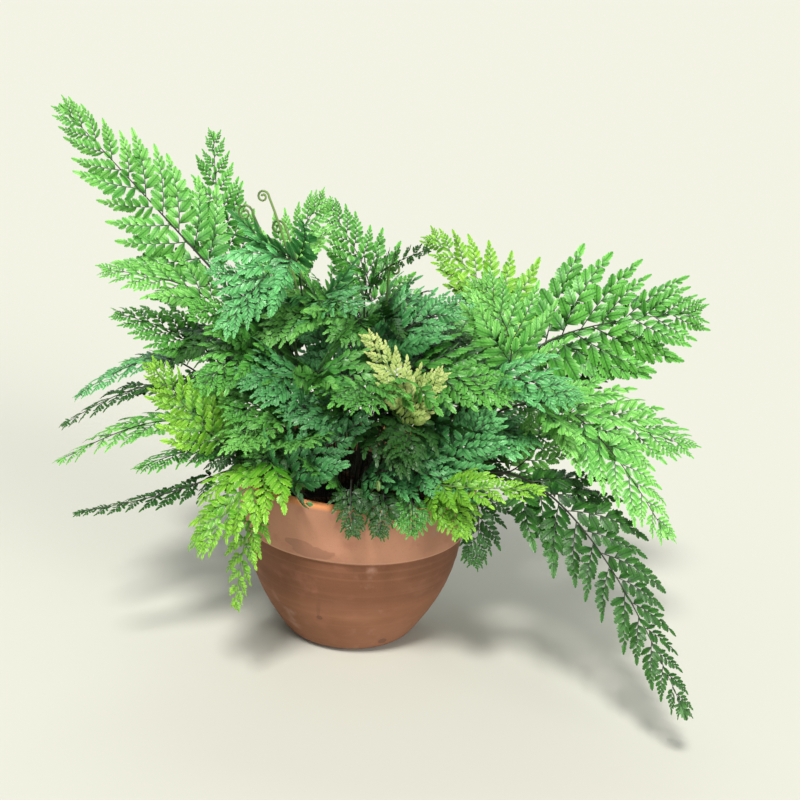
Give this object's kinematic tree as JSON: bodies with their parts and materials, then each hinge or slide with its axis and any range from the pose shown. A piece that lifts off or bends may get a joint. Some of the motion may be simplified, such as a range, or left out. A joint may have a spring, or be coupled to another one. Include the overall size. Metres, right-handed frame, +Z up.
{
  "type": "potted leatherleaf fern",
  "caption": "Leafy fern with broad, finely divided arching fronds, growing from soil in a round terracotta pot with a wide rim band.",
  "frame": {"origin": "centre of the underside of the pot, on the surface it stands on", "axes": "+Z up along the pot's axis; -Y towards the side the plant is seen from, with the longest hanging frond at front right; +X to the right"},
  "size_m": [0.493, 0.4058, 0.4108],
  "materials": {
    "terracotta": "matte",
    "potting_soil": "matte",
    "young_frond": "satin",
    "light_frond": "satin",
    "mid_frond": "satin",
    "blue_green_frond": "satin",
    "dark_frond": "satin",
    "pale_frond": "satin"
  },
  "bodies": {
    "root": {"pot": "terracotta", "soil": "potting_soil", "frond_crown_1": "mid_frond", "frond_crown_2": "light_frond", "frond_crown_3": "mid_frond", "frond_crown_4": "dark_frond", "frond_crown_5": "young_frond", "frond_crown_6": "blue_green_frond", "frond_crown_7": "blue_green_frond", "frond_crown_8": "blue_green_frond", "frond_crown_9": "light_frond", "frond_crown_10": "blue_green_frond", "frond_crown_11": "pale_frond", "frond_crown_12": "pale_frond", "frond_left_1": "light_frond", "frond_left_2": "light_frond", "frond_left_3": "mid_frond", "frond_left_4": "blue_green_frond", "frond_left_5": "dark_frond", "frond_left_6": "light_frond", "frond_left_7": "dark_frond", "frond_left_8": "mid_frond", "frond_left_9": "young_frond", "frond_left_10": "mid_frond", "frond_left_11": "mid_frond", "frond_left_12": "blue_green_frond", "frond_right_1": "mid_frond", "frond_right_2": "light_frond", "frond_right_3": "light_frond", "frond_right_4": "dark_frond", "frond_right_5": "dark_frond", "frond_right_6": "light_frond", "frond_right_7": "dark_frond", "frond_right_8": "blue_green_frond", "frond_front_1": "young_frond", "frond_front_2": "young_frond", "frond_front_3": "dark_frond", "frond_front_4": "dark_frond", "frond_front_5": "mid_frond", "frond_front_6": "young_frond", "frond_front_7": "young_frond", "frond_front_8": "dark_frond", "frond_front_9": "mid_frond", "frond_front_10": "blue_green_frond", "frond_front_11": "blue_green_frond", "frond_front_12": "mid_frond", "frond_front_13": "blue_green_frond", "frond_front_14": "blue_green_frond", "frond_front_15": "mid_frond", "frond_front_16": "light_frond", "frond_back_1": "mid_frond", "frond_back_2": "light_frond", "frond_back_3": "dark_frond", "frond_back_4": "mid_frond", "frond_back_5": "blue_green_frond", "frond_back_6": "mid_frond", "frond_back_7": "light_frond", "frond_back_8": "mid_frond", "frond_back_9": "dark_frond"}
  },
  "joints": []
}
